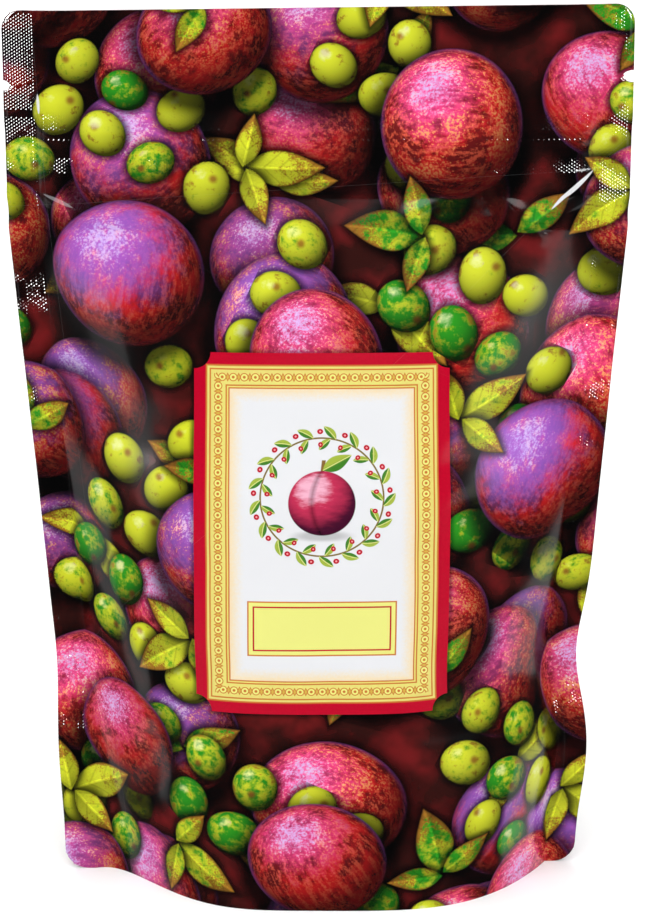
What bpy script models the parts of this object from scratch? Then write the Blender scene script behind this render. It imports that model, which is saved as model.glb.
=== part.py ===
"""A sealed stand-up pouch of dried fruit, as Blender solids.

Metres, +Z up, front panel towards -Y. The origin is the middle of the base, on the surface it stands on.
A panel is laid out flat as (across, rise) and then bent to the filled shape: its rows keep the flat
panel's width, so the sides draw in wherever the belly stands out.
"""

import functools
import math
import random

import bmesh
import bpy
from mathutils import Euler, Vector

MM = 0.001
LEFT, RIGHT = -1, 1
FRONT, BACK = -1, 1

# The flat pouch
POUCH_WIDTH = 160 * MM
POUCH_HEIGHT = 240 * MM
SIDE_SEAL = 8 * MM
TOP_CORNER = 5 * MM
FOOT_CORNER = 6 * MM
NOTCH_RISE = 221 * MM
NOTCH_DEPTH = 2.6 * MM
NOTCH_HALF_HEIGHT = 1.6 * MM
TOP_SLANT = 1.4 * MM

# The film, and the gap between two films that are welded in the real pouch
FILM = 0.3 * MM
GAP = 0.3 * MM
LAYER = FILM + GAP

# The filled shape
STANDING_HEIGHT = 235 * MM
BASE_DEPTH = 33 * MM
BELLY_TOP = 192 * MM
BELLY_BEND = 2.3
BELLY_SHARPNESS = 0.78
SWELL = 1 * MM
SWELL_RISE = 36 * MM
SWELL_SPAN = 22 * MM
SWELL_START = 15 * MM

# The curve across the belly: a power over 2 is squarer than round, and a fullness over 1 ends in a soft S
ROUND = 2
SQUARER_AT_FOOT = 0.5
FOOT_END = 80 * MM
SQUARER_OVER_ZIP = 30
ZIP_SHOULDER = (181 * MM, 193 * MM)
FULLNESS = 1.04
FOOT_FULLNESS = {LEFT: 2.3, RIGHT: 1.0}

# The side seals: a pinch above the gusset's fold, a flare below it, and slow waves forwards and back
PINCH = {LEFT: -0.4 * MM, RIGHT: -2.3 * MM}
PINCH_RISE = 62 * MM
PINCH_SPAN = 15 * MM
FLARE = {LEFT: 1.5 * MM, RIGHT: 3.0 * MM}
FLARE_RISE = 33 * MM
FLARE_SPAN = 18 * MM
WAVE = {LEFT: 1.5 * MM, RIGHT: 2.5 * MM}
WAVE_LENGTH = {LEFT: 190 * MM, RIGHT: 150 * MM}
WAVE_START = {LEFT: 1.0, RIGHT: -0.4}
WAVE_FROM = 40 * MM
WAVE_TO = (160 * MM, 190 * MM)
WAVE_FADE = 4
KICK = {LEFT: -5.5 * MM, RIGHT: 0.0}
KICK_END = 60 * MM

# The bottom gusset: the height of its fold up the side seals, and of its seal at the middle
GUSSET_FOLD = 45 * MM
GUSSET_END = 5 * MM
GUSSET_SKIRT = 9 * MM
GUSSET_ARCH = 1 * MM
GUSSET_SIDE_ARCH = 7 * MM
FLATTEST_ARCH = 4000

# The press-to-close zip inside, below the tear notches
ZIP_RISE = 200 * MM
ZIP_FLANGE_HEIGHT = 12 * MM
ZIP_FLANGE = 0.4 * MM
ZIP_HALF_LENGTH = 64 * MM
ZIP_INNER = 1.0 * MM
ZIP_ROOM = 1.55 * MM
ZIP_EASE = (10 * MM, 8 * MM)

# The dried fruit segments
SEGMENT_HALF = Vector((16, 9.5, 9)) * MM
SEGMENT_BEND = 12.0
SEGMENT_TURN = (0.5, 0.3, 0.7)
HEAP_TOP = 96 * MM
HEAP_STEP = Vector((26, 15, 14)) * MM
HEAP_REACH = 3
HEAP_CLEARANCE = 0.7 * MM
HEAP_EDGE = 0.97
TOUCHING = 1.85
TRIES = 12
HEAP_SEED = 7

# How finely the panels are divided
BELLY_COLUMNS = 24
SKIRT_ROWS = 4
CROSSING_STEPS = 8
LENGTH_STEPS = 60
SLOPE_STEP = 0.001
HALVINGS = 30
PANEL_RISES = [0, 1.2, 3.5, 6, 14, 24, 34, 45, 50, 58, 72, 88, 104, 120, 136, 150, 162, 172, 180, 186,
               190, 194, 200, 206, 210, 214, 219.4, 220, 221, 222, 222.6, 229, 235, 237.5, 239.2, 240]


def smooth(low, high, value):
    """0 below low and 1 above high, with an even curve between."""
    share = min(1.0, max(0.0, (value - low) / (high - low)))
    return share * share * (3 - 2 * share)


def bump(value, middle, span):
    """1 at the middle, falling off evenly to both sides."""
    return math.exp(-(((value - middle) / span) ** 2))


def standing(rise, x=0.0):
    """The height above the ground of a row this far up the flat panel. The top is cut a little off square."""
    slant = TOP_SLANT * x / POUCH_WIDTH * smooth(ZIP_RISE, POUCH_HEIGHT, rise)
    return rise * STANDING_HEIGHT / POUCH_HEIGHT + slant


def belly_depth(rise):
    """How far a panel's middle stands out from its side seals."""
    wedge = BASE_DEPTH * max(0.0, 1 - (rise / BELLY_TOP) ** BELLY_BEND) ** BELLY_SHARPNESS
    swell = SWELL * bump(rise, SWELL_RISE, SWELL_SPAN) * smooth(0, SWELL_START, rise)
    low = ZIP_RISE - ZIP_FLANGE_HEIGHT / 2
    high = ZIP_RISE + ZIP_FLANGE_HEIGHT / 2
    over_zip = smooth(low - ZIP_EASE[0], low, rise) * (1 - smooth(high, high + ZIP_EASE[1], rise))
    return max(wedge + swell, ZIP_ROOM * over_zip)


def squareness(rise):
    """The power of the curve across the belly, high where the film runs flat over the zip."""
    at_foot = SQUARER_AT_FOOT * (1 - smooth(0, FOOT_END, rise))
    return ROUND + at_foot + SQUARER_OVER_ZIP * smooth(*ZIP_SHOULDER, rise)


def fullness(rise, side):
    at_foot = FOOT_FULLNESS[side]
    return at_foot + (FULLNESS - at_foot) * smooth(0, FOOT_END, rise)


def belly(share, rise, side):
    """The belly's stand-out at a share of the way from the middle to the side seal."""
    return belly_depth(rise) * (1 - share ** squareness(rise)) ** fullness(rise, side)


def width_for(rise, side):
    """The half width over which one side of the belly has the flat panel's length."""
    flat = POUCH_WIDTH / 2 - SIDE_SEAL
    low, high = flat / 2, flat
    outs = [belly(i / LENGTH_STEPS, rise, side) for i in range(LENGTH_STEPS + 1)]
    for _ in range(HALVINGS):
        width = (low + high) / 2
        length = sum(math.hypot(width / LENGTH_STEPS, b - a) for a, b in zip(outs, outs[1:]))
        if length > flat:
            high = width
        else:
            low = width
    return low


@functools.lru_cache(maxsize=None)
def belly_half_width(rise, side):
    """The half width between the side seals. Both sides draw in alike, but for the pinch and the flare."""
    width = (width_for(rise, LEFT) + width_for(rise, RIGHT)) / 2
    pinch = PINCH[side] * bump(rise, PINCH_RISE, PINCH_SPAN)
    return width + pinch + FLARE[side] * bump(rise, FLARE_RISE, FLARE_SPAN)


def edge_cut(rise):
    """What the rounded corners and the tear notch take off a side seal's outer edge."""
    cut = 0.0
    for radius, inward in ((FOOT_CORNER, rise), (TOP_CORNER, POUCH_HEIGHT - rise)):
        if inward < radius:
            cut = radius - math.sqrt(radius**2 - (radius - inward) ** 2)
    across_notch = abs(rise - NOTCH_RISE) / NOTCH_HALF_HEIGHT
    if across_notch < 1:
        cut = NOTCH_DEPTH * math.sqrt(1 - across_notch**2)
    return cut


def seal_wave(x, rise, half_width):
    """The slow wave that the side seals make, and the foot's kick forwards, fading towards the middle."""
    side = LEFT if x < 0 else RIGHT
    held = smooth(0, WAVE_FROM, rise) * (1 - smooth(*WAVE_TO, rise))
    swing = WAVE[side] * held * math.sin(2 * math.pi * rise / WAVE_LENGTH[side] + WAVE_START[side])
    kick = KICK[side] * (1 - smooth(0, KICK_END, rise))
    return (swing + kick) * min(1.0, abs(x) / half_width) ** WAVE_FADE


def layers_inside(rise):
    """How far the panel's mid-surface is from the pouch's middle plane at the side seals."""
    with_gusset = 1 - smooth(GUSSET_FOLD, GUSSET_FOLD + GUSSET_END, rise)
    return LAYER / 2 + LAYER * with_gusset


def columns():
    """Places across a panel, -1 to 1 between the side seals, closer together near them. The two
    outermost on each side, 1.5 and 2, are the side seal's middle and its outer edge."""
    half = BELLY_COLUMNS // 2
    shares = [math.sin(math.pi / 2 * i / half) for i in range(-half, half + 1)]
    return [-2, -1.5, *shares, 1.5, 2]


def panel_point(column, rise, facing, inset=0.0):
    """A point of a panel's mid-surface. The inset moves it inwards, square to itself."""
    side = LEFT if column < 0 else RIGHT
    half_width = belly_half_width(rise, side)
    share = min(1.0, abs(column))
    into_seal = max(0.0, abs(column) - 1)
    x = side * (share * half_width + into_seal * (SIDE_SEAL - edge_cut(rise)))

    def bent(at):
        return belly(at, rise, side) + facing * seal_wave(side * at * half_width, rise, half_width)

    slope = (bent(share) - bent(max(0.0, share - SLOPE_STEP))) / (SLOPE_STEP * half_width)
    out = layers_inside(rise) + belly(share, rise, side) - inset * math.sqrt(1 + slope**2)
    y = facing * max(LAYER / 2, out) + seal_wave(x, rise, half_width)
    return Vector((x, y, standing(rise, x)))


def material(name, colour, roughness):
    made = bpy.data.materials.new(name)
    made.use_nodes = True
    shader = made.node_tree.nodes["Principled BSDF"]
    shader.inputs["Base Color"].default_value = (*colour, 1)
    shader.inputs["Roughness"].default_value = roughness
    return made


def new_object(name, mesh, finish):
    mesh.materials.append(finish)
    made = bpy.data.objects.new(name, mesh)
    bpy.context.scene.collection.objects.link(made)
    return made


def film_object(name, rows, finish, flip=False):
    """A film through rows of points, thickened evenly to both sides."""
    shape = bmesh.new()
    grid = [[shape.verts.new(point) for point in row] for row in rows]
    for low, high in zip(grid, grid[1:]):
        for i in range(len(low) - 1):
            corners = (low[i], low[i + 1], high[i + 1], high[i])
            shape.faces.new(corners[::-1] if flip else corners)
    mesh = bpy.data.meshes.new(name)
    shape.to_mesh(mesh)
    shape.free()
    mesh.shade_smooth()
    made = new_object(name, mesh, finish)
    wall = made.modifiers.new("film", "SOLIDIFY")
    wall.thickness = FILM
    wall.offset = 0
    wall.use_even_offset = True
    wall.use_quality_normals = True
    return made


def make_panel(name, facing, finish):
    rows = [[panel_point(column, rise * MM, facing) for column in columns()] for rise in PANEL_RISES]
    return film_object(name, rows, finish, flip=facing == BACK)


def skirt_height(share):
    """Where the gusset's curved seal to a panel ends, up the panel."""
    side_height = GUSSET_FOLD - LAYER / 2
    return GUSSET_SKIRT + (side_height - GUSSET_SKIRT) * (1 - math.sqrt(1 - share**2))


def arch_height(share):
    """How far the gusset's crossing rises between its two seals."""
    return GUSSET_ARCH + (GUSSET_SIDE_ARCH - GUSSET_ARCH) * share**3


def gusset_column(column):
    """The gusset's path at one place across: up the front panel, over to the back one, and down it."""
    share = min(1.0, abs(column))
    rises = [skirt_height(share) * i / SKIRT_ROWS for i in range(SKIRT_ROWS + 1)]
    up = [panel_point(column, rise, FRONT, inset=LAYER) for rise in rises]
    down = [panel_point(column, rise, BACK, inset=LAYER) for rise in reversed(rises)]
    middle = (up[-1] + down[0]) / 2
    reach = (down[0] - up[-1]) / 2
    arch = Vector((0, 0, min(arch_height(share), FLATTEST_ARCH * reach.y**2)))
    angles = [math.pi * (i / CROSSING_STEPS - 0.5) for i in range(1, CROSSING_STEPS)]
    crossing = [middle + reach * math.sin(angle) + arch * math.cos(angle) for angle in angles]
    return up + crossing + down


def make_gusset(finish):
    paths = [gusset_column(column) for column in columns()]
    return film_object("bottom_gusset", paths, finish, flip=True)


def make_zip_strip(name, section, finish):
    """A strip of one section, (y, z) from the zip's line, run across the pouch."""
    shape = bmesh.new()
    middle = standing(ZIP_RISE)
    corners = [shape.verts.new((-ZIP_HALF_LENGTH, y, middle + z)) for y, z in section]
    face = shape.faces.new(corners)
    made = bmesh.ops.extrude_face_region(shape, geom=[face])
    moved = [v for v in made["geom"] if isinstance(v, bmesh.types.BMVert)]
    bmesh.ops.translate(shape, verts=moved, vec=(2 * ZIP_HALF_LENGTH, 0, 0))
    bmesh.ops.recalc_face_normals(shape, faces=shape.faces)
    mesh = bpy.data.meshes.new(name)
    shape.to_mesh(mesh)
    shape.free()
    return new_object(name, mesh, finish)


def make_zip(finish):
    """A ribbed strip on the front panel and a channel strip on the back one, pressed shut."""
    inner = ZIP_INNER
    outer = inner + ZIP_FLANGE
    tall = ZIP_FLANGE_HEIGHT / 2
    stem, barb, tip = 0.2 * MM, 0.65 * MM, 0.6 * MM
    rib = [(-outer, -tall), (-inner, -tall), (-inner, -stem), (0, -stem), (0, -barb), (tip, -stem),
           (tip, stem), (0, barb), (0, stem), (-inner, stem), (-inner, tall), (-outer, tall)]
    throat, room, wall = 0.45 * MM, 1.0 * MM, 1.5 * MM
    lip_out, lip_in = -0.65 * MM, -0.25 * MM
    upper = [(inner, tall), (inner, wall), (lip_out, wall), (lip_out, throat), (lip_in, throat),
             (lip_in, room), (inner, room)]
    lower = [(y, -z) for y, z in reversed(upper)]
    channel = [(outer, -tall), (outer, tall), *upper, *lower]
    make_zip_strip("zip_rib_strip", rib, finish)
    make_zip_strip("zip_channel_strip", channel, finish)


def inside_pouch(point):
    """Whether a point of the heap is clear of the panels, the gusset and the side seals."""
    rise = point.z * POUCH_HEIGHT / STANDING_HEIGHT
    side = LEFT if point.x < 0 else RIGHT
    half_width = belly_half_width(rise, side)
    share = abs(point.x) / half_width
    if share > HEAP_EDGE:
        return False
    room = belly(share, rise, side) - LAYER - HEAP_CLEARANCE
    wave = seal_wave(point.x, rise, half_width)
    floor = standing(skirt_height(share)) + arch_height(share) + FILM + HEAP_CLEARANCE
    return abs(point.y - wave) < room and point.z > floor


def segment_shape(place, turn):
    """One dried segment: a plump crescent."""
    shape = bmesh.new()
    bmesh.ops.create_icosphere(shape, subdivisions=2, radius=1)
    for vert in shape.verts:
        point = Vector(a * b for a, b in zip(vert.co, SEGMENT_HALF))
        point.z -= SEGMENT_BEND * point.x**2
        vert.co = turn @ point + place
    return shape


def touches(home, placed):
    """Whether a segment here would sink into one that is already placed. TOUCHING is in half segments."""
    gaps = [Vector(a / b for a, b in zip(home - other, SEGMENT_HALF)).length for other in placed]
    return not gaps or min(gaps) < TOUCHING


def lay_segment(home, placed, loose, draw):
    """Tries a few turns of a segment at this place, and keeps the first that fits."""
    for _ in range(TRIES):
        turn = Euler([draw.uniform(-most, most) for most in SEGMENT_TURN]).to_matrix()
        shape = segment_shape(home, turn)
        fits = touches(home, placed) and all(inside_pouch(vert.co) for vert in shape.verts)
        if fits:
            mesh = bpy.data.meshes.new("segment")
            shape.to_mesh(mesh)
            loose.objects.link(bpy.data.objects.new("segment", mesh))
            placed.append(home)
        shape.free()
        if fits:
            return


def make_heap(finish):
    """The dried segments, laid in courses and settled together into one heap."""
    draw = random.Random(HEAP_SEED)
    loose = bpy.data.collections.new("loose_segments")
    bpy.context.scene.collection.children.link(loose)
    placed = []
    floor = GUSSET_SKIRT + GUSSET_ARCH + FILM + HEAP_CLEARANCE + SEGMENT_HALF.z
    for course in range(math.ceil((HEAP_TOP - floor) / HEAP_STEP.z)):
        for row in range(-HEAP_REACH, HEAP_REACH + 1):
            for column in range(-HEAP_REACH, HEAP_REACH + 1):
                stagger = (course + row) % 2 / 2
                home = ((column + stagger) * HEAP_STEP.x, row * HEAP_STEP.y, floor + course * HEAP_STEP.z)
                lay_segment(Vector(home), placed, loose, draw)
    first = loose.objects[0]
    heap = new_object("dried_fruit_heap", first.data.copy(), finish)
    bpy.data.objects.remove(first)
    union = heap.modifiers.new("union", "BOOLEAN")
    union.operation = "UNION"
    union.operand_type = "COLLECTION"
    union.collection = loose
    graph = bpy.context.evaluated_depsgraph_get()
    joined = bpy.data.meshes.new_from_object(heap.evaluated_get(graph))
    heap.modifiers.clear()
    heap.data = joined
    for segment in list(loose.objects):
        bpy.data.objects.remove(segment)
    bpy.data.collections.remove(loose)
    return heap


def main():
    for old in list(bpy.data.objects):
        bpy.data.objects.remove(old)
    printed = material("printed_film", (0.20, 0.03, 0.05), 0.22)
    dark = material("gusset_film", (0.10, 0.02, 0.03), 0.25)
    clear = material("zip_plastic", (0.82, 0.82, 0.80), 0.40)
    dried = material("dried_fruit", (0.86, 0.78, 0.62), 0.90)
    make_panel("front_panel", FRONT, printed)
    make_panel("back_panel", BACK, printed)
    make_gusset(dark)
    make_zip(clear)
    make_heap(dried)


main()
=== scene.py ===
"""A sealed stand-up pouch of dried fruit: its printed film, seals, zip and gusset, on a pale floor.

Metres, +Z up, front panel towards -Y. A point of the film is known by its place on the flat pouch:
across from the middle, and rise from the foot. The film's "flat" map holds that place, with the
pouch's height as 1.
"""

import math
import random

import bpy
import numpy as np
from mathutils import Matrix, Vector


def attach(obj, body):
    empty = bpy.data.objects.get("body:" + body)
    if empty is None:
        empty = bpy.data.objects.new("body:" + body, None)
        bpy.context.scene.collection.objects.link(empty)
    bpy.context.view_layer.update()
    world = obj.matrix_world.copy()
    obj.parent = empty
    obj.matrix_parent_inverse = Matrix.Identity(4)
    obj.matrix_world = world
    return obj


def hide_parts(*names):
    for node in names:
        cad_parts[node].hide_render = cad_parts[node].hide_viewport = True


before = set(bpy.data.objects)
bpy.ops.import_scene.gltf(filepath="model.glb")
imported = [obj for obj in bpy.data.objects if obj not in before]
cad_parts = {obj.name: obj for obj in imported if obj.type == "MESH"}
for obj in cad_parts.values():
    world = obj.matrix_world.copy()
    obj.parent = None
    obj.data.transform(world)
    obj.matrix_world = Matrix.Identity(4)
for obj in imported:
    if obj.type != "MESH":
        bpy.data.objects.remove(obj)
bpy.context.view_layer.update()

MM = 0.001
LEFT, RIGHT = -1, 1
FRONT, BACK = -1, 1

# The flat pouch
POUCH_WIDTH = 160 * MM
POUCH_HEIGHT = 240 * MM
SIDE_SEAL = 8 * MM
TOP_CORNER = 5 * MM
FOOT_CORNER = 6 * MM
NOTCH_RISE = {LEFT: 219.5 * MM, RIGHT: 221.2 * MM}
NOTCH_DEPTH = {LEFT: 1.7 * MM, RIGHT: 2.9 * MM}
NOTCH_HALF_HEIGHT = {LEFT: 1.4 * MM, RIGHT: 1.6 * MM}
TOP_SLANT = 1.7 * MM
TOP_SPREAD = {LEFT: 0.4 * MM, RIGHT: 1.0 * MM}
TOP_SPREAD_RISES = (140 * MM, 215 * MM)
FILM = 0.3 * MM
LAYER = 0.32 * MM

# The filled shape
STANDING_HEIGHT = 235 * MM
BASE_DEPTH = 33 * MM
BELLY_TOP = 192 * MM
BELLY_BEND = 2.3
BELLY_SHARPNESS = 0.78
SWELL, SWELL_RISE, SWELL_SPAN = 1 * MM, 36 * MM, 22 * MM
SWELL_START = 15 * MM
ROUND = 2
SQUARER_AT_FOOT = 0.5
FOOT_END = 80 * MM
SQUARER_OVER_ZIP = 22
ZIP_SHOULDER = (181 * MM, 193 * MM)
FULLNESS = 1.04
FOOT_FULLNESS = {LEFT: 2.3, RIGHT: 1.0}
PINCH = {LEFT: -0.4 * MM, RIGHT: -2.3 * MM}
PINCH_RISE, PINCH_SPAN = 62 * MM, 15 * MM
FLARE = {LEFT: 1.5 * MM, RIGHT: 3.0 * MM}
FLARE_RISE, FLARE_SPAN = 33 * MM, 18 * MM
WAVE = {LEFT: 1.5 * MM, RIGHT: 2.5 * MM}
WAVE_LENGTH = {LEFT: 190 * MM, RIGHT: 150 * MM}
WAVE_START = {LEFT: 1.0, RIGHT: -0.4}
WAVE_FROM = 40 * MM
WAVE_TO = (160 * MM, 190 * MM)
WAVE_FADE = 4
KICK = {LEFT: -5.5 * MM, RIGHT: 0.0}
KICK_END = 60 * MM

EASE = 1.6 * MM
FULLER = 1.2  # how much squarer the films lie than the width is worked out for

# How the top corners curl: how far back the outer edge goes, from where across, between which rises
CURLS = [
    (LEFT, 2.2 * MM, 62 * MM, (186 * MM, 226 * MM)),
    (RIGHT, 0.8 * MM, 64 * MM, (176 * MM, 196 * MM)),
]
FLUTTER = 0.22 * MM
FLUTTER_LENGTH = {LEFT: 27 * MM, RIGHT: 34 * MM}
FLUTTER_START = 60 * MM
FLUTTER_RISES = (20 * MM, 60 * MM)

# The gusset, and the zip inside
GUSSET_FOLD = 45 * MM
GUSSET_END = 5 * MM
GUSSET_SKIRT = 9 * MM
GUSSET_ARCH = 1 * MM
GUSSET_SIDE_ARCH = 7 * MM
FLATTEST_ARCH = 4000
ZIP_RISE = 200 * MM
ZIP_FLANGE_HEIGHT = 12 * MM
ZIP_ROOM = 1.55 * MM
ZIP_BLEND = 0.9 * MM
ZIP_EASE = (10 * MM, 8 * MM)

# Lumps of the contents under each panel: height, shortest and longest wave in millimetres, count
LUMPS = [(0.5 * MM, 26, 80, 14), (0.12 * MM, 12, 26, 20)]
LUMP_SEED = {FRONT: 11, BACK: 29}
LUMP_SIDES = (50 * MM, 71 * MM)
LUMP_START = (4 * MM, 40 * MM)
LUMP_END = (150 * MM, 188 * MM)

# What the zip and the seals press into the film. Each line of the zip: rise, height, half its width
ZIP_LINES = [
    (203.5 * MM, 0.22 * MM, 0.8 * MM),
    (207.2 * MM, 0.22 * MM, 0.8 * MM),
    (200.0 * MM, 0.10 * MM, 2.2 * MM),
]
ZIP_LINE_SIDES = (62 * MM, 72 * MM)
ZIP_BAND = 0.07 * MM
ZIP_BAND_START = (194.6 * MM, 195.6 * MM)
ZIP_BAND_END = (210 * MM, 216 * MM)
SEAL_RIDGE, SEAL_RIDGE_ACROSS, SEAL_RIDGE_SPAN = 0.16 * MM, 71.6 * MM, 0.5 * MM
SEAL_RIDGE_RISES = (180 * MM, 205 * MM)

# The front film's pucker, and its folds: start and end on the flat pouch, width and height, in
# millimetres. A fold's tips have a share of its width
PUCKER, PUCKER_REACH = 1.1 * MM, 3.2 * MM
PUCKER_PLACE = (42 * MM, 192 * MM)
PUCKER_FLATNESS = 1.4
PUCKER_SIDES = (68 * MM, 72 * MM)
CREASE_TIP = 0.4
FRONT_FOLDS = [
    ((71.5, 197), (60, 186), 0.9, 0.6),
    ((70.6, 197), (66, 196.7), 0.5, 0.3),
    ((42.5, 194), (14, 178), 4.5, 0.9),
    ((42.5, 194), (60, 178), 2.6, 0.7),
    ((-71, 191), (-62.5, 186.5), 1.0, 0.5),
    ((-71.6, 218), (-71.2, 210), 0.7, 0.4),
]

# How finely the film is divided
HALF_COLUMNS = 76
SEAL_COLUMNS = 6
NOTCH_ROWS = 13
CORNER_ROWS = 8
ROW_STEP = 1.0 * MM
FINE_ROW_STEP = 0.5 * MM
FINE_ROWS = (178 * MM, 216 * MM)
LEAST_ROW_STEP = 0.01 * MM
GUSSET_COLUMNS = 41
GUSSET_SEAL_COLUMNS = 4
GUSSET_ROWS = 9
ARCH_ROWS = 26


def smooth(low, high, value):
    """0 below low and 1 above high, with an even curve between."""
    share = np.clip((value - low) / (high - low), 0, 1)
    return share * share * (3 - 2 * share)


def bump(value, middle, span):
    """1 at the middle, falling off evenly to both sides."""
    return np.exp(-(((value - middle) / span) ** 2))


def standing(rise, x):
    """How high a place of the film is over the floor."""
    slant = TOP_SLANT * x / POUCH_WIDTH * smooth(ZIP_RISE, POUCH_HEIGHT, rise)
    return rise * STANDING_HEIGHT / POUCH_HEIGHT + slant


def eased(depth):
    """The same depth, but leaving the flat seals gently, as film does."""
    return np.hypot(depth, EASE) - EASE * np.exp(-depth / (4 * EASE))


def belly_depth(rise):
    """How far a panel's middle stands out from its side seals."""
    wedge = BASE_DEPTH * np.clip(1 - (rise / BELLY_TOP) ** BELLY_BEND, 0, 1) ** BELLY_SHARPNESS
    swell = SWELL * bump(rise, SWELL_RISE, SWELL_SPAN) * smooth(0, SWELL_START, rise)
    low = ZIP_RISE - ZIP_FLANGE_HEIGHT / 2
    high = ZIP_RISE + ZIP_FLANGE_HEIGHT / 2
    over_zip = smooth(low - ZIP_EASE[0], low, rise) * (1 - smooth(high, high + ZIP_EASE[1], rise))
    body, zip_room, blend = eased(wedge + swell), ZIP_ROOM * over_zip, ZIP_BLEND * over_zip
    return (body + zip_room + np.hypot(body - zip_room, blend)) / 2


def belly(share, rise, side, fuller=0.0):
    """The belly's stand-out at a share of the way from the middle to the side seal."""
    at_foot = 1 - smooth(0, FOOT_END, rise)
    power = ROUND + fuller + SQUARER_AT_FOOT * at_foot
    power = power + SQUARER_OVER_ZIP * smooth(*ZIP_SHOULDER, rise)
    fullness = FULLNESS + (FOOT_FULLNESS[side] - FULLNESS) * at_foot
    return belly_depth(rise) * np.clip(1 - share**power, 0, 1) ** fullness


def drawn_width(rise, side, steps=60, halvings=30):
    """The half width over which a side of the belly has the flat panel's length, for each rise."""
    flat = POUCH_WIDTH / 2 - SIDE_SEAL
    outs = belly(np.linspace(0, 1, steps + 1)[None, :], rise[:, None], side)
    rises = np.diff(outs, axis=1)
    low, high = np.full(len(rise), flat / 2), np.full(len(rise), flat)
    for _ in range(halvings):
        width = (low + high) / 2
        long = np.hypot(width[:, None] / steps, rises).sum(axis=1) > flat
        high = np.where(long, width, high)
        low = np.where(long, low, width)
    return low


def belly_half_width(rise, side):
    """Half the width that the belly draws in to, with one side's own pinch and flare."""
    width = (drawn_width(rise, LEFT) + drawn_width(rise, RIGHT)) / 2
    width = width + PINCH[side] * bump(rise, PINCH_RISE, PINCH_SPAN)
    return width + FLARE[side] * bump(rise, FLARE_RISE, FLARE_SPAN)


def edge_cut(rise, side):
    """What the corners and the notch take off a side seal's edge, less its spread at the top."""
    cut = np.zeros_like(rise)
    for radius, inward in ((FOOT_CORNER, rise), (TOP_CORNER, POUCH_HEIGHT - rise)):
        left = np.clip(radius - inward, 0, radius)
        cut += radius - np.sqrt(radius**2 - left**2)
    across_notch = np.clip(np.abs(rise - NOTCH_RISE[side]) / NOTCH_HALF_HEIGHT[side], 0, 1)
    cut += NOTCH_DEPTH[side] * np.sqrt(1 - across_notch**2)
    return cut - TOP_SPREAD[side] * smooth(*TOP_SPREAD_RISES, rise)


def seal_wave(share, rise, side):
    """The slow wave of the side seals and the foot's kick forwards, fading towards the middle."""
    held = smooth(0, WAVE_FROM, rise) * (1 - smooth(*WAVE_TO, rise))
    swing = WAVE[side] * held * np.sin(2 * math.pi * rise / WAVE_LENGTH[side] + WAVE_START[side])
    kick = KICK[side] * (1 - smooth(0, KICK_END, rise))
    return (swing + kick) * np.minimum(1, share) ** WAVE_FADE


def layers_inside(rise):
    """How far a panel's film stands from the pouch's middle, with the gusset's layers between."""
    with_gusset = 1 - smooth(GUSSET_FOLD, GUSSET_FOLD + GUSSET_END, rise)
    return LAYER / 2 + LAYER * with_gusset


def half_panel(rise, side, facing):
    """A panel's half, from its middle to a side seal's outer edge: places and flat places."""
    part = np.linspace(0, 1, HALF_COLUMNS + 1)
    shares = (part + np.sin(math.pi / 2 * part)) / 2
    into_seal = np.linspace(0, 1, SEAL_COLUMNS + 1)[1:]
    share = np.concatenate([shares, np.ones(SEAL_COLUMNS)])[None, :]
    into_seal = np.concatenate([np.zeros(len(shares)), into_seal])[None, :]
    up = np.broadcast_to(rise[:, None], (len(rise), share.shape[1]))
    width = belly_half_width(rise, side)[:, None]
    seal = (SIDE_SEAL - edge_cut(rise, side))[:, None]
    stand_out = belly(share, up, side, FULLER)
    x = share * width + into_seal * seal
    wave = seal_wave(share, up, side)
    out = layers_inside(up) + stand_out
    steps = np.hypot(np.diff(share * width, axis=1), np.diff(stand_out, axis=1))
    length = np.concatenate([np.zeros((len(rise), 1)), np.cumsum(steps, axis=1)], axis=1)
    across = length / length[:, -1:] * (POUCH_WIDTH / 2 - SIDE_SEAL) + into_seal * seal
    places = np.stack([side * x, facing * out + wave, standing(up, side * x)], axis=-1)
    return places, np.stack([side * across, up], axis=-1)


def panel_rows():
    """How far up each row of the film lies, with more rows at the corners and the notches."""
    coarse_low = np.arange(0, FINE_ROWS[0], ROW_STEP)
    fine = np.arange(*FINE_ROWS, FINE_ROW_STEP)
    coarse_high = np.arange(FINE_ROWS[1], POUCH_HEIGHT - TOP_CORNER, ROW_STEP)
    bend = np.sin(np.linspace(-math.pi / 2, math.pi / 2, NOTCH_ROWS))
    notches = [NOTCH_RISE[side] + NOTCH_HALF_HEIGHT[side] * bend for side in (LEFT, RIGHT)]
    corner = 1 - np.cos(np.linspace(0, math.pi / 2, CORNER_ROWS))
    foot, top = FOOT_CORNER * corner, POUCH_HEIGHT - TOP_CORNER * corner
    below_notches = coarse_high < notches[0][0] - ROW_STEP / 3
    above_notches = coarse_high > notches[1][-1] + ROW_STEP / 3
    coarse_high = coarse_high[below_notches | above_notches]
    coarse_low = coarse_low[coarse_low > FOOT_CORNER]
    rows = np.sort(np.concatenate([foot, coarse_low, fine, coarse_high, *notches, top]))
    return rows[np.append(True, np.diff(rows) > LEAST_ROW_STEP)]


def whole_panel(rise, facing):
    """Both halves of a panel, joined down the middle."""
    left, left_flat = half_panel(rise, LEFT, facing)
    right, right_flat = half_panel(rise, RIGHT, facing)
    places = np.concatenate([left[:, :0:-1], right], axis=1)
    flat = np.concatenate([left_flat[:, :0:-1], right_flat], axis=1)
    return places, flat


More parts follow.
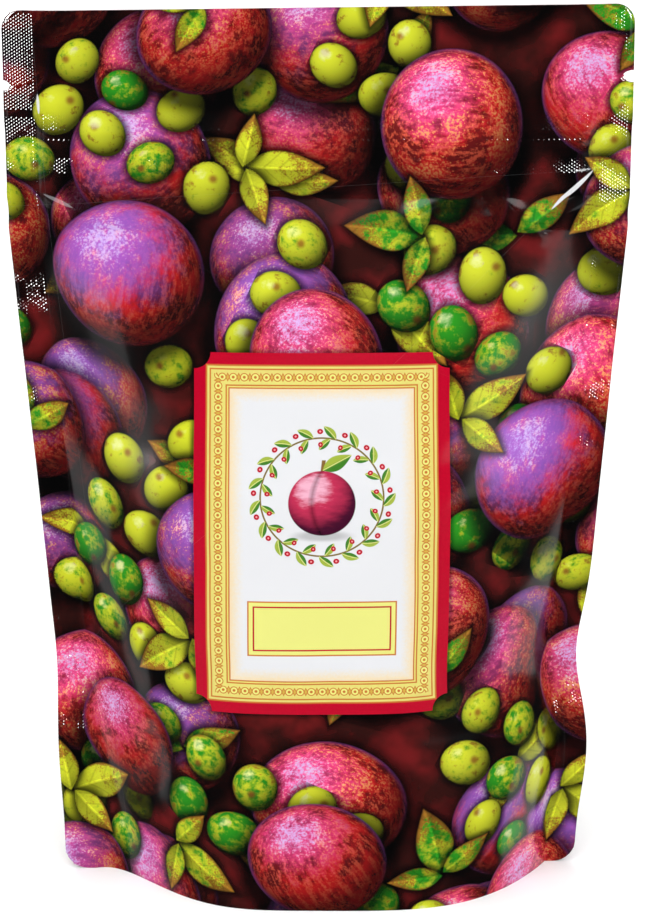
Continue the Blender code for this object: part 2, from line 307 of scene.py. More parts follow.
def sway(flat):
    """How far both films go back together: curled top corners, and a flutter along the seals."""
    across, rise = flat[..., 0], flat[..., 1]
    total = np.zeros(across.shape)
    for side, depth, start, (low, high) in CURLS:
        beyond = np.clip((side * across - start) / (POUCH_WIDTH / 2 - start), 0, None)
        total += depth * beyond**2 * smooth(low, high, rise)
    for side in (LEFT, RIGHT):
        beyond = (side * across - FLUTTER_START) / (POUCH_WIDTH / 2 - FLUTTER_START)
        reach = FLUTTER * np.clip(beyond, 0, None) ** 2 * smooth(*FLUTTER_RISES, rise)
        total += reach * np.sin(2 * math.pi * rise / FLUTTER_LENGTH[side])
    return total


def outward(places, facing):
    """The film's outward directions, from its neighbouring places."""
    across = np.gradient(places, axis=1)
    up = np.gradient(places, axis=0)
    normal = facing * np.cross(up, across)
    return normal / np.linalg.norm(normal, axis=-1, keepdims=True)


def crease(flat, start, end, width, height):
    """A sharp fold between two flat places, which fades out at both ends."""
    start, end = np.array(start) * MM, np.array(end) * MM
    run = end - start
    length = np.linalg.norm(run)
    along = ((flat - start) @ run) / length**2
    beside = ((flat - start) @ np.array([-run[1], run[0]])) / length
    body = np.clip(1 - (2 * along - 1) ** 2, 0, 1)
    narrowed = CREASE_TIP + (1 - CREASE_TIP) * body
    return height * MM * body * bump(beside, 0, width * MM * narrowed)


def ripples(flat, seed, shortest, longest, count):
    """A sum of waves in all directions, about 1 high, for film that lies on lumpy contents."""
    draw = random.Random(seed)
    total = np.zeros(flat.shape[:2])
    for _ in range(count):
        length = math.exp(draw.uniform(math.log(shortest), math.log(longest))) * MM
        turn = draw.uniform(0, math.pi)
        start = draw.uniform(0, 2 * math.pi)
        along = flat[..., 0] * math.cos(turn) + flat[..., 1] * math.sin(turn)
        total += length / (longest * MM) * np.sin(2 * math.pi * along / length + start)
    return total / math.sqrt(count / 2)


def relief(flat, facing):
    """How far the real film stands off the smooth pouch shape."""
    across, rise = flat[..., 0], flat[..., 1]
    out = np.abs(across)
    filled = smooth(*LUMP_START, rise) * (1 - smooth(*LUMP_END, rise))
    filled = filled * (1 - smooth(*LUMP_SIDES, out))
    lift = np.zeros(across.shape)
    for number, (height, *waves) in enumerate(LUMPS):
        lift += height * ripples(flat, LUMP_SEED[facing] + number, *waves) * filled
    zip_lift = ZIP_BAND * smooth(*ZIP_BAND_START, rise) * (1 - smooth(*ZIP_BAND_END, rise))
    for line, height, half in ZIP_LINES:
        zip_lift += height * bump(rise, line, half)
    lift += zip_lift * (1 - smooth(*ZIP_LINE_SIDES, out))
    ridge = SEAL_RIDGE * bump(out, SEAL_RIDGE_ACROSS, SEAL_RIDGE_SPAN)
    lift += ridge * smooth(*SEAL_RIDGE_RISES, rise)
    if facing == FRONT:
        for fold in FRONT_FOLDS:
            lift += crease(flat, *fold)
        far = np.hypot(across - PUCKER_PLACE[0], (rise - PUCKER_PLACE[1]) * PUCKER_FLATNESS)
        lift -= PUCKER * np.exp(-far / PUCKER_REACH) * (1 - smooth(*PUCKER_SIDES, out))
    return lift


def new_piece(name, mesh, finishes):
    for finish in finishes:
        mesh.materials.append(finish)
    piece = bpy.data.objects.new(name, mesh)
    bpy.context.scene.collection.objects.link(piece)
    return piece


def grid_mesh(name, places, flat, flip=False):
    """A sheet through rows of places, with its flat map."""
    rows, columns = places.shape[:2]
    corner = np.arange(rows * columns).reshape(rows, columns)
    loops = np.stack([corner[:-1, :-1], corner[:-1, 1:], corner[1:, 1:], corner[1:, :-1]], axis=-1)
    loops = loops.reshape(-1, 4)
    if flip:
        loops = loops[:, ::-1]
    mesh = bpy.data.meshes.new(name)
    mesh.from_pydata(places.reshape(-1, 3).tolist(), [], loops.tolist())
    marks = np.empty((rows * columns, 2))
    marks[:, 0] = flat.reshape(-1, 2)[:, 0] / POUCH_HEIGHT + 0.5
    marks[:, 1] = flat.reshape(-1, 2)[:, 1] / POUCH_HEIGHT
    flat_map = mesh.uv_layers.new(name="flat")
    flat_map.data.foreach_set("uv", marks[loops.ravel()].ravel())
    mesh.shade_smooth()
    return mesh


def film_sheet(name, facing):
    """The panel's outer surface, with its relief."""
    rise = panel_rows()
    places, flat = whole_panel(rise, facing)
    places[..., 1] += sway(flat)
    places = places + outward(places, facing) * (relief(flat, facing) + FILM / 2)[..., None]
    return grid_mesh(name, places, flat, flip=facing == BACK)


def make_film(name, facing, finishes):
    """A panel as a closed film: printed outside, foil inside, and a pale cut edge."""
    film = new_piece(name, film_sheet(name, facing), finishes)
    wall = film.modifiers.new("wall", "SOLIDIFY")
    wall.thickness = FILM
    wall.offset = -1
    wall.material_offset = 1
    wall.material_offset_rim = 2
    return film


def skirt_height(share):
    """How far up the panels the gusset is sealed to them, lowest in the middle."""
    side_height = GUSSET_FOLD - LAYER / 2
    return GUSSET_SKIRT + (side_height - GUSSET_SKIRT) * (1 - np.sqrt(1 - share**2))


# Geometry Nodes


class Tree:
    """A Geometry Nodes tree being built."""

    def __init__(self, name):
        self.group = bpy.data.node_groups.new(name, "GeometryNodeTree")
        self.sockets = self.group.interface
        for way in ("INPUT", "OUTPUT"):
            self.sockets.new_socket("Geometry", in_out=way, socket_type="NodeSocketGeometry")
        self.start = self.group.nodes.new("NodeGroupInput")
        self.end = self.group.nodes.new("NodeGroupOutput")
        self.names = {}

    def size(self, name, kind="Float"):
        """A named input of the tree."""
        kind = "NodeSocket" + kind
        socket = self.sockets.new_socket(name, in_out="INPUT", socket_type=kind)
        self.names[name] = socket.identifier
        return self.start.outputs[name]

    def add(self, kind, settings=None, inputs=()):
        node = self.group.nodes.new(kind)
        for name, value in (settings or {}).items():
            setattr(node, name, value)
        for key, value in inputs.items() if isinstance(inputs, dict) else enumerate(inputs):
            if isinstance(value, bpy.types.NodeSocket):
                self.group.links.new(value, node.inputs[key])
            elif value is not None:
                node.inputs[key].default_value = value
        return node

    def put(self, kind, settings=None, inputs=()):
        """The first output of a new node."""
        return self.add(kind, settings, inputs).outputs[0]

    def math(self, operation, *values):
        return self.put("ShaderNodeMath", {"operation": operation}, values)

    def grow(self, name, mesh, sizes):
        """Runs the tree on a mesh and gives the result back as a plain mesh."""
        source = bpy.data.objects.new(name, mesh)
        bpy.context.scene.collection.objects.link(source)
        step = source.modifiers.new(name, "NODES")
        step.node_group = self.group
        for size, value in sizes.items():
            step[self.names[size]] = value
        graph = bpy.context.evaluated_depsgraph_get()
        grown = bpy.data.meshes.new_from_object(source.evaluated_get(graph), depsgraph=graph)
        source.modifiers.clear()
        bpy.data.objects.remove(source)
        grown.name = name
        return grown


DIMPLE_PITCH = (1.32 * MM, 0.46 * MM)
DIMPLE_RADIUS = 0.41 * MM
DIMPLE_HEIGHT = 0.15 * MM
DIMPLE_SINK = 0.02 * MM
DIMPLE_SIDES = 4
DIMPLE_UNEVENNESS = (0.8, 1.1)
FAINTEST_DIMPLE = 0.3
PATCH_SCALE = 19.0
FULLY_PRESSED = 0.64

# Where the jaw pressed: name, low and high corner on the flat pouch in millimetres, and the value
# of the pressing's noise below which the dimples stay faint
SEAL_BANDS = [
    ("left_seal", (-79.7, 1.0), (-71.6, 182.0), 0.58),
    ("left_seal_end", (-79.7, 182.3), (-71.6, 211.2), 0.30),
    ("left_seal_top", (-79.7, 213.2), (-71.6, 239.4), -0.50),
    ("right_seal", (72.2, 1.0), (80.6, 182.0), 0.59),
    ("right_seal_top", (72.2, 182.3), (80.6, 239.4), 0.45),
    ("upper_zip_weld", (-70.0, 208.0), (70.0, 212.0), 0.48),
    ("zip_line", (-70.0, 205.3), (70.0, 205.5), 0.30),
    ("lower_zip_weld", (-70.0, 196.5), (70.0, 200.5), 0.48),
]


def jaw_marks(tree, columns):
    """The flat-map place of each of the jaw's points, in staggered rows."""
    low_across, low_rise = tree.size("Low across"), tree.size("Low rise")
    pitch_across, pitch_rise = tree.size("Pitch across"), tree.size("Pitch up")
    index = tree.put("GeometryNodeInputIndex")
    row = tree.math("FLOOR", tree.math("DIVIDE", index, columns))
    column = tree.math("SUBTRACT", index, tree.math("MULTIPLY", row, columns))
    stagger = tree.math("MULTIPLY", tree.math("MODULO", row, 2.0), 0.5)
    across = tree.math("MULTIPLY_ADD", tree.math("ADD", column, stagger), pitch_across, low_across)
    rise = tree.math("MULTIPLY_ADD", row, pitch_rise, low_rise)
    return tree.put("ShaderNodeCombineXYZ", None, [
        tree.math("MULTIPLY_ADD", across, 1 / POUCH_HEIGHT, 0.5),
        tree.math("MULTIPLY", rise, 1 / POUCH_HEIGHT),
        0.0,
    ])


def dimple_scale(tree, mark):
    """Each dimple's scale: fully raised where the jaw pressed hard, faint elsewhere."""
    patches = tree.put("ShaderNodeTexNoise", None, {
        "Vector": mark, "Scale": PATCH_SCALE, "Detail": 2.0,
    })
    pressed = tree.put("ShaderNodeMapRange", {"interpolation_type": "SMOOTHSTEP"}, [
        patches, tree.size("Bare below"), FULLY_PRESSED,
    ])
    draw = tree.add("FunctionNodeRandomValue", {"data_type": "FLOAT"}, {
        2: DIMPLE_UNEVENNESS[0], 3: DIMPLE_UNEVENNESS[1], "Seed": tree.size("Seed", "Int"),
    }).outputs[1]
    share = tree.math("MULTIPLY_ADD", pressed, 1 - FAINTEST_DIMPLE, FAINTEST_DIMPLE)
    return tree.put("ShaderNodeCombineXYZ", None, [1.0, 1.0, tree.math("MULTIPLY", draw, share)])


def dimple_tree():
    """Rows of small raised points on a film, staggered, as a heat-seal jaw leaves them."""
    tree = Tree("seal_dimples")
    film = tree.start.outputs[0]
    columns, rows = tree.size("Columns", "Int"), tree.size("Rows", "Int")
    radius, height = tree.size("Radius"), tree.size("Height")
    mark = jaw_marks(tree, columns)
    dots = tree.put("GeometryNodePoints", None, [tree.math("MULTIPLY", columns, rows)])
    vectors = {"data_type": "FLOAT_VECTOR"}
    flat = tree.put("GeometryNodeInputNamedAttribute", vectors, ["flat"])

    def on_film(kind):
        return tree.add("GeometryNodeSampleUVSurface", vectors, [film, tree.put(kind), flat, mark])

    found = on_film("GeometryNodeInputPosition")
    facing = on_film("GeometryNodeInputNormal").outputs[0]
    named = tree.put("GeometryNodeStoreNamedAttribute", {**vectors, "domain": "POINT"}, {
        "Geometry": dots, "Name": "flat", "Value": mark,
    })
    sunk = tree.put("ShaderNodeVectorMath", {"operation": "MULTIPLY_ADD"}, [
        facing, (-DIMPLE_SINK,) * 3, found.outputs[0],
    ])
    placed = tree.put("GeometryNodeSetPosition", None, {"Geometry": named, "Position": sunk})
    missed = tree.put("FunctionNodeBooleanMath", {"operation": "NOT"}, [found.outputs[1]])
    kept = tree.put("GeometryNodeDeleteGeometry", {"domain": "POINT"}, [placed, missed])
    dot = tree.put("GeometryNodeMeshCone", {"fill_type": "NGON"}, {
        "Vertices": DIMPLE_SIDES, "Side Segments": 1, "Fill Segments": 1,
        "Radius Top": 0.0, "Radius Bottom": radius, "Depth": height,
    })
    turn = tree.put("FunctionNodeAlignRotationToVector", {"axis": "Z"}, {"Vector": facing})
    laid = tree.put("GeometryNodeInstanceOnPoints", None, {
        "Points": kept, "Instance": dot, "Rotation": turn, "Scale": dimple_scale(tree, mark),
    })
    real = tree.put("GeometryNodeRealizeInstances", None, [laid])
    done = tree.put("GeometryNodeSetMaterial", None, {
        "Geometry": real, "Material": tree.size("Finish", "Material"),
    })
    tree.group.links.new(done, tree.end.inputs[0])
    return tree


def make_dimples(tree, name, film, finish, low, high, bare, seed):
    """Dimples between two flat corners of a film, in millimetres, faint below the bare value."""
    low_across, low_rise, high_across, high_rise = (value * MM for value in (*low, *high))
    mesh = tree.grow(name, film.data, {
        "Low across": low_across,
        "Low rise": low_rise,
        "Pitch across": DIMPLE_PITCH[0],
        "Pitch up": DIMPLE_PITCH[1],
        "Columns": int((high_across - low_across) / DIMPLE_PITCH[0]),
        "Rows": int((high_rise - low_rise) / DIMPLE_PITCH[1]) + 1,
        "Radius": DIMPLE_RADIUS,
        "Height": DIMPLE_HEIGHT,
        "Bare below": bare,
        "Seed": seed,
        "Finish": finish,
    })
    used = [slot for slot in mesh.materials if slot]
    mesh.materials.clear()
    mesh.materials.append(used[0] if used else finish)
    mesh.polygons.foreach_set("material_index", [0] * len(mesh.polygons))
    return new_piece(name, mesh, [])


def press_seals(films):
    """The dimples of every band, on each film."""
    tree = dimple_tree()
    dimples = []
    for side, (film, finish) in films.items():
        for seed, (band, low, high, bare) in enumerate(SEAL_BANDS):
            name = f"{side}_{band}_dimples"
            dimples.append(make_dimples(tree, name, film, finish, low, high, bare, seed))
    return dimples


# Finishes


class Field:
    """A value that varies over a surface: one socket of a finish, with arithmetic."""

    def __init__(self, finish, socket):
        self.finish = finish
        self.socket = socket

    def math(self, operation, *others):
        return self.finish.add("ShaderNodeMath", {"operation": operation}, [self, *others])

    def __add__(self, other):
        return self.math("ADD", other)

    def __sub__(self, other):
        return self.math("SUBTRACT", other)

    def __mul__(self, other):
        return self.math("MULTIPLY", other)

    def __truediv__(self, other):
        return self.math("DIVIDE", other)

    def __rsub__(self, other):
        return self.finish.add("ShaderNodeMath", {"operation": "SUBTRACT"}, [other, self])

    def __rtruediv__(self, other):
        return self.finish.add("ShaderNodeMath", {"operation": "DIVIDE"}, [other, self])

    __radd__ = __add__
    __rmul__ = __mul__

    def __pow__(self, other):
        return self.math("POWER", other)

    def __abs__(self):
        return self.math("ABSOLUTE")

    def step(self, low, high):
        """0 at low and 1 at high, with an even curve between. Low may be the greater."""
        curve = {"interpolation_type": "SMOOTHSTEP"}
        return self.finish.add("ShaderNodeMapRange", curve, [self, low, high])

    def other(self, name):
        """Another output of the same node."""
        return Field(self.finish, self.socket.node.outputs[name])


class Finish:
    """A material, and the nodes that make it."""

    def __init__(self, name, **constants):
        self.material = bpy.data.materials.new(name)
        self.material.use_nodes = True
        self.tree = self.material.node_tree
        self.shader = self.tree.nodes["Principled BSDF"]
        for socket, value in constants.items():
            self.shader.inputs[socket.replace("_", " ").title()].default_value = value

    def add(self, kind, settings=None, inputs=(), output=0):
        node = self.tree.nodes.new(kind)
        for name, value in (settings or {}).items():
            setattr(node, name, value)
        for key, value in inputs.items() if isinstance(inputs, dict) else enumerate(inputs):
            self.feed(node.inputs[key], value)
        return Field(self, node.outputs[output])

    def feed(self, socket, value):
        if isinstance(value, Field):
            self.tree.links.new(value.socket, socket)
        elif socket.type == "RGBA" and len(value) == 3:
            socket.default_value = (*value, 1)
        else:
            socket.default_value = value

    def show(self, **fields):
        for socket, value in fields.items():
            self.feed(self.shader.inputs[socket.replace("_", " ").title()], value)

    def vector(self, operation, *values):
        return self.add("ShaderNodeVectorMath", {"operation": operation}, values)

    def scale(self, vector, size):
        inputs = {0: vector, "Scale": size}
        return self.add("ShaderNodeVectorMath", {"operation": "SCALE"}, inputs)

    def dot(self, a, b):
        return self.vector("DOT_PRODUCT", a, b).other("Value")

    def length(self, a):
        return self.vector("LENGTH", a).other("Value")

    def point(self, x, y, z=0.0):
        return self.add("ShaderNodeCombineXYZ", None, [x, y, z])

    def apart(self, vector):
        """A vector's three parts."""
        x = self.add("ShaderNodeSeparateXYZ", None, [vector])
        return x, x.other("Y"), x.other("Z")

    def noise(self, vector, scale, detail=2.0, roughness=0.5, dimensions="3D"):
        inputs = {"Vector": vector, "Scale": scale, "Detail": detail, "Roughness": roughness}
        return self.add("ShaderNodeTexNoise", {"noise_dimensions": dimensions}, inputs)

    def mix(self, share, below, above):
        inputs = {0: share, 6: below, 7: above}
        return self.add("ShaderNodeMix", {"data_type": "RGBA"}, inputs, output=2)

    def darken(self, colour, value):
        return self.scale(colour, value)

    def turn(self, vector, angle):
        inputs = {"Vector": vector, "Angle": angle}
        return self.add("ShaderNodeVectorRotate", {"rotation_type": "Z_AXIS"}, inputs)

    def scatter(self, place, spacing, shift, looseness, turned):
        """One mark a cell of a loose lattice: the way from its middle, its cell, tint and draws."""
        cell = self.scale(self.turn(place, turned), 1 / spacing)
        cell = self.vector("ADD", cell, (*shift, 0.0))
        settings = {"voronoi_dimensions": "2D", "feature": "F1"}
        inputs = {"Vector": cell, "Scale": 1.0, "Randomness": looseness}
        near = self.add("ShaderNodeTexVoronoi", settings, inputs, output="Position")
        offset = self.turn(self.scale(self.vector("SUBTRACT", cell, near), spacing), -turned)
        tint = near.other("Color")
        draws = self.add("ShaderNodeSeparateColor", None, [tint])
        return offset, near, tint, (draws, draws.other("Green"), draws.other("Blue"))


# The print. Lengths in it are in millimetres.
SUN = (-0.30, 0.50, 0.81)
SHADOW = (0.028, 0.004, 0.003)
MAROON = (0.15, 0.007, 0.008)
CRIMSON = (0.68, 0.012, 0.014)
SCARLET = (0.86, 0.12, 0.055)
MAGENTA = (0.54, 0.042, 0.20)
VIOLET = (0.18, 0.065, 0.34)
LILAC = (0.62, 0.50, 0.92)
TAN = (0.78, 0.34, 0.10)
LEAF_GREEN = (0.020, 0.25, 0.010)
LEAF_YELLOW = (0.56, 0.60, 0.020)
LEAF_BROWN = (0.24, 0.045, 0.010)
BERRY_SHINE = (0.86, 0.90, 0.50)
FULL_TURN = 2 * math.pi


def hump(along):
    """0 at both ends of a mark and a quarter at its middle."""
    return (along * (1 - along)).math("MAXIMUM", 0.0)


def rounded(finish, disc, far):
    """A disc's bulge as a ball, its depth, and how squarely the print's light meets it."""
    depth = (1 - far * far).math("MAXIMUM", 0.0) ** 0.5
    x, y, _ = finish.apart(disc)
    bulge = finish.point(x, y, depth)
    return bulge, depth, finish.dot(bulge, SUN)


def plum_skin(finish, bulge, tint):
    """The mottling, streaks and freckles of a plum, turned and placed by its tint."""
    turns = {"Vector": bulge, "Rotation": finish.scale(tint, FULL_TURN)}
    skin = finish.add("ShaderNodeVectorRotate", {"rotation_type": "EULER_XYZ"}, turns)
    skin = finish.vector("ADD", skin, finish.scale(tint, 31.0))
    mottle = finish.noise(skin, 2.3, 6.0, 0.68)
    streak = finish.noise(finish.vector("MULTIPLY", skin, (13.0, 13.0, 2.2)), 1.0, 4.0, 0.62)
    return mottle, streak, finish.noise(skin, 27.0, 3.0, 0.7)


def lay_plums(finish, below, place, spacing, shift, size, turned, shade=1.0):
    """Round plums over what is below: mottled, streaked and freckled skin, with a lilac bloom."""
    offset, _, tint, (some, more, last) = finish.scatter(place, spacing, shift, 0.25, turned)
    disc = finish.scale(offset, 1 / (size * (0.9 + 0.22 * some)))
    oval = finish.vector("MULTIPLY", finish.turn(disc, FULL_TURN * more), (1.0, 1.1, 0.0))
    far = finish.length(oval)
    bulge, depth, light = rounded(finish, disc, far)
    mottle, streak, freckle = plum_skin(finish, bulge, tint)
    colour = finish.mix((mottle + 0.25 * (streak - 0.5)).step(0.38, 0.60), MAROON, CRIMSON)
    colour = finish.mix((streak * 0.6 + freckle * 0.4).step(0.47, 0.62) * 0.75, colour, SCARLET)
    pink = (light + 0.9 * (mottle - 0.5) + 0.5 * (streak - 0.5)).step(0.60, 1.05)
    colour = finish.mix(pink * 0.8, colour, MAGENTA)
    violet = (light + 1.1 * (0.5 - mottle) + 0.6 * (streak - 0.5)).step(0.30, 0.95)
    colour = finish.mix(violet * last.step(0.25, 0.75) * 0.85, colour, VIOLET)
    scar = (mottle * 0.5 + freckle * 0.5).step(0.52, 0.60) * (light + more).step(0.6, 1.3)
    colour = finish.mix(scar * 0.75, colour, TAN)
    lit = 0.10 + (1.30 + 0.7 * some) * light.math("MAXIMUM", 0.0) ** 1.8
    colour = finish.darken(colour, lit * depth.step(-0.05, 0.55))
    grain = 0.22 * (streak - 0.5) + 0.45 * (freckle - 0.5) + 0.3 * (mottle - 0.5)
    colour = finish.mix((light + grain).step(0.90, 1.06) * 0.8, colour, LILAC)
    rim = depth.step(0.42, 0.12) * (0.35 + light).step(0.0, 0.8) * freckle
    colour = finish.mix(rim * 0.6, colour, VIOLET)
    if shade != 1.0:
        colour = finish.darken(colour, shade)
    cast = finish.length(finish.vector("ADD", disc, (0.02, 0.13, 0.0))).step(1.30, 0.95)
    ground = finish.darken(below, 1 - 0.92 * cast)
    return finish.mix(far.step(1.0, 0.97), ground, colour)


def lay_leaves(finish, below, place, spacing, shift, length, half_width, turned, sprays):
    """Pointed leaves in small sprays, with a pale midrib and side veins."""
    offset, _, _, (some, more, _) = finish.scatter(place, spacing, shift, 0.4, turned)
    mottle = finish.noise(place, 0.30, 4.0, 0.62)
    grain = finish.noise(place, 1.9, 3.0, 0.6)
    for angle, share in sprays:
        a, b, _ = finish.apart(finish.turn(offset, FULL_TURN * some + angle))
        b = b + 0.9 * ((a * 0.11).math("SINE") - 0.5)
        along = a * (1 / (length * share))
        beside = abs(b)
        past_end = (abs(along - 0.5) - 0.5).math("MAXIMUM", 0.0) * length
        edge = (half_width * share * 3.8) * hump(along) * (1.3 - 0.6 * along) - beside - past_end
        vein = (a * 1.6 - beside * 1.7).math("SINE").step(0.75, 1.0)
        colour = finish.mix((mottle + 0.4 * more - 0.2).step(0.28, 0.52), LEAF_GREEN, LEAF_YELLOW)
        rust = mottle * 0.55 + grain * 0.5 + along * 0.3 + edge.step(1.4, 0.0) * 0.12
        colour = finish.mix(rust.step(0.66, 0.80) * 0.85, colour, LEAF_BROWN)
        tone = (0.62 + 0.42 * b.step(-0.5, 0.5)) * (0.5 + 0.55 * along.step(0.0, 0.45))
        tone = tone * (1 - 0.22 * vein) * (1 + 0.5 * beside.step(0.5, 0.15)) * (0.7 + 0.6 * grain)
        colour = finish.darken(colour, tone * edge.step(-0.1, 0.8))
        ground = finish.darken(below, 1 - 0.85 * edge.step(-2.8, 0.2))
        below = finish.mix(edge.step(0.0, 0.25), ground, colour)
    return below


def lay_berries(finish, below, place, spacing, shift, size, turned, bare):
    """Yellow-green berries in clumps, each with its dark eye."""
    offset, cell, tint, (some, more, last) = finish.scatter(place, spacing, shift, 0.16, turned)
    clump = finish.noise(finish.vector("ADD", cell, (3.1, 7.7, 0.0)), 0.41, 0.0, 0.5, "2D")
    grows = clump.step(bare, bare + 0.01)
    disc = finish.scale(offset, 1 / (size * (0.84 + 0.16 * some)))
    oval = finish.vector("MULTIPLY", finish.turn(disc, FULL_TURN * last), (1.0, 1.16, 0.0))
    far = finish.length(oval)
    bulge, depth, light = rounded(finish, disc, far)
    skin = finish.noise(finish.vector("ADD", bulge, finish.scale(tint, 17.0)), 2.4, 5.0, 0.65)
    colour = finish.mix((skin + 0.45 * more - 0.2).step(0.30, 0.54), LEAF_GREEN, LEAF_YELLOW)
    rust = (skin + 0.15 * (1 - depth)).step(0.60, 0.72)
    colour = finish.mix(rust * 0.7, colour, LEAF_BROWN)
    eye_at = finish.vector("SUBTRACT", tint, (0.5, 0.5, 0.0))
    eye_at = finish.vector("MULTIPLY", eye_at, (1.2, 1.2, 0.0))
    eye = finish.length(finish.vector("SUBTRACT", disc, eye_at))
    colour = finish.mix(eye.step(0.24, 0.04) * 0.8, colour, LEAF_BROWN)
    lit = 0.06 + 1.15 * light.math("MAXIMUM", 0.0) ** 1.3
    colour = finish.darken(colour, lit * depth.step(-0.1, 0.55))
    shine = (light + 0.2 * (skin - 0.5)).step(0.93, 1.02)
    colour = finish.mix(shine * 0.6, colour, BERRY_SHINE)
    ground = finish.darken(below, 1 - 0.85 * far.step(1.35, 0.95) * grows)
    return finish.mix(far.step(1.0, 0.93) * grows, ground, colour)


TWO_LEAVES = ((0.0, 1.0), (2.5, 0.8))
THREE_LEAVES = ((0.4, 1.0), (1.6, 0.75), (-1.0, 0.7))


def fruit_print(finish, place):
    """Plums, berries and leaves heaped over a near-black ground, edge to edge."""
    ground = finish.mix(finish.noise(place, 0.07, 3.0).step(0.4, 0.7), SHADOW, MAROON)
    heap = lay_plums(finish, ground, place, 43, (0.1, 0.3), 17.5, 0.2, shade=0.85)
    heap = lay_leaves(finish, heap, place, 52, (3.3, 5.1), 22, 5.2, 0.9, TWO_LEAVES)
    heap = lay_plums(finish, heap, place, 56, (7.6, 11.8), 19, 1.0, shade=0.95)
    heap = lay_berries(finish, heap, place, 14.5, (2.2, 9.4), 7.6, 0.5, 0.53)
    heap = lay_plums(finish, heap, place, 60, (14.15, 2.8), 19.5, 0.45)
    return lay_leaves(finish, heap, place, 57, (9.7, 1.9), 21, 5.2, 0.0, THREE_LEAVES)


# The label. Lengths are in millimetres, from its middle.
LABEL_MIDDLE = (1.3, 104.0)
LABEL_HALF = (32.4, 47.7)
BACK_LABEL_MIDDLE = (0.0, 106.0)
BACK_LABEL_HALF = (46.0, 62.0)
LABEL_NICK = 4.2
LABEL_CRIMSON = (0.47, 0.0, 0.018)
LABEL_ORANGE = (0.55, 0.17, 0.03)
LABEL_GOLD = (0.62, 0.40, 0.065)
LABEL_YELLOW = (0.76, 0.76, 0.21)
LABEL_CREAM = (0.82, 0.66, 0.40)
LABEL_WHITE = (0.74, 0.745, 0.765)
FRAME_IN, FRAME_WIDTH = 3.4, 5.6
LINE_INSET = 0.75
BEAD_PITCH = 2.8


def box_edge(x, y, half_x, half_y):
    """How far inside a box a place is. Below 0 is outside."""
    return (half_x - abs(x)).math("MINIMUM", half_y - abs(y))


def beaded_gold(finish, x, y, half, inwards, grain):
    """The label's frame: gold, with a row of beads and small leaves between two lines."""
    sheen = (grain + 0.4 * (inwards * (1 / FRAME_WIDTH)) - 0.2).step(0.3, 0.7)
    colour = finish.mix(0.75, finish.mix(sheen, LABEL_ORANGE, LABEL_GOLD), LABEL_YELLOW)
    upright = (half[1] - abs(y) - (half[0] - abs(x))).step(-0.01, 0.01)
    run = x + (y - x) * upright
    beat = (run * (1 / BEAD_PITCH)).math("PINGPONG", 0.5) * BEAD_PITCH
    bead = finish.length(finish.point(beat, inwards - FRAME_WIDTH / 2))
    leaf = abs(BEAD_PITCH / 2 - beat) * 1.6 + abs(inwards - FRAME_WIDTH / 2) * 0.8
    for mark, outer, inner, tone in (
        (leaf, 1.05, 0.85, LABEL_ORANGE), (leaf, 0.7, 0.5, LABEL_GOLD),
        (bead, 1.15, 1.0, LABEL_ORANGE), (bead, 0.9, 0.75, LABEL_YELLOW),
        (bead, 0.45, 0.3, LABEL_ORANGE),
    ):
        colour = finish.mix(mark.step(outer, inner), colour, tone)
    for line in (LINE_INSET, FRAME_WIDTH - LINE_INSET):
        colour = finish.mix(abs(inwards - line).step(0.25, 0.12), colour, LABEL_ORANGE)
    return colour


def ticket(finish, below, place, middle, half, emblem):
    """A bare ticket: crimson with nicked corners, gold frame, pale field, and an emblem."""
    at = finish.vector("SUBTRACT", place, (*middle, 0.0))
    x, y, _ = finish.apart(at)
    corner = finish.length(finish.point(abs(x) - half[0], abs(y) - half[1]))
    plate = box_edge(x, y, *half).math("MINIMUM", corner - LABEL_NICK)
    grain = finish.noise(place, 1.3, 4.0, 0.6)
    colour = finish.darken(LABEL_CRIMSON, 0.85 + 0.3 * grain)
    inwards = box_edge(x, y, half[0] - FRAME_IN, half[1] - FRAME_IN)
    colour = finish.mix(inwards.step(-0.5, -0.3), colour, LABEL_ORANGE)
    gold = beaded_gold(finish, x, y, half, inwards, grain)
    colour = finish.mix(inwards.step(-0.1, 0.1), colour, gold)
    field = inwards - FRAME_WIDTH
    colour = finish.mix(abs(field).step(0.3, 0.15), colour, LABEL_ORANGE)
    cream = finish.mix((field + 3.0 * (grain - 0.5)).step(-0.5, 4.0), LABEL_CREAM, LABEL_WHITE)
    colour = finish.mix(field.step(0.05, 0.2), colour, cream)
    colour = emblem(finish, colour, at)
    ground = finish.darken(below, 1 - 0.6 * plate.step(-1.6, 0.0))
    return finish.mix(plate.step(-0.08, 0.08), ground, colour)


def yellow_plaque(finish, below, x, y, half_x, half_y):
    """An empty yellow plaque with an orange rim and a crimson line inside it."""
    plaque = box_edge(x, y, half_x, half_y)
    colour = finish.mix(plaque.step(-0.45, -0.3), below, LABEL_ORANGE)
    colour = finish.mix(plaque.step(-0.1, 0.1), colour, LABEL_YELLOW)
    return finish.mix(abs(plaque - 1.2).step(0.26, 0.14), colour, LABEL_CRIMSON)


WREATH_RISE = 10.5
WREATH_RADIUS = 15.5
WREATH_LEAVES = 17
WREATH_STEM = (0.20, 0.14, 0.03)
WREATH_DARK, WREATH_PALE = (0.05, 0.20, 0.02), (0.34, 0.44, 0.05)
WREATH_VEIN = (0.62, 0.66, 0.22)
WREATH_BERRY_LIGHT = (0.85, 0.35, 0.35)
PLUM_RADIUS = 8.6
PLUM_STALK = (0.22, 0.12, 0.03)
PLUM_SHADE, PLUM_BODY = (0.05, 0.003, 0.020), (0.56, 0.03, 0.09)
PLUM_SHINE = (0.88, 0.52, 0.66)


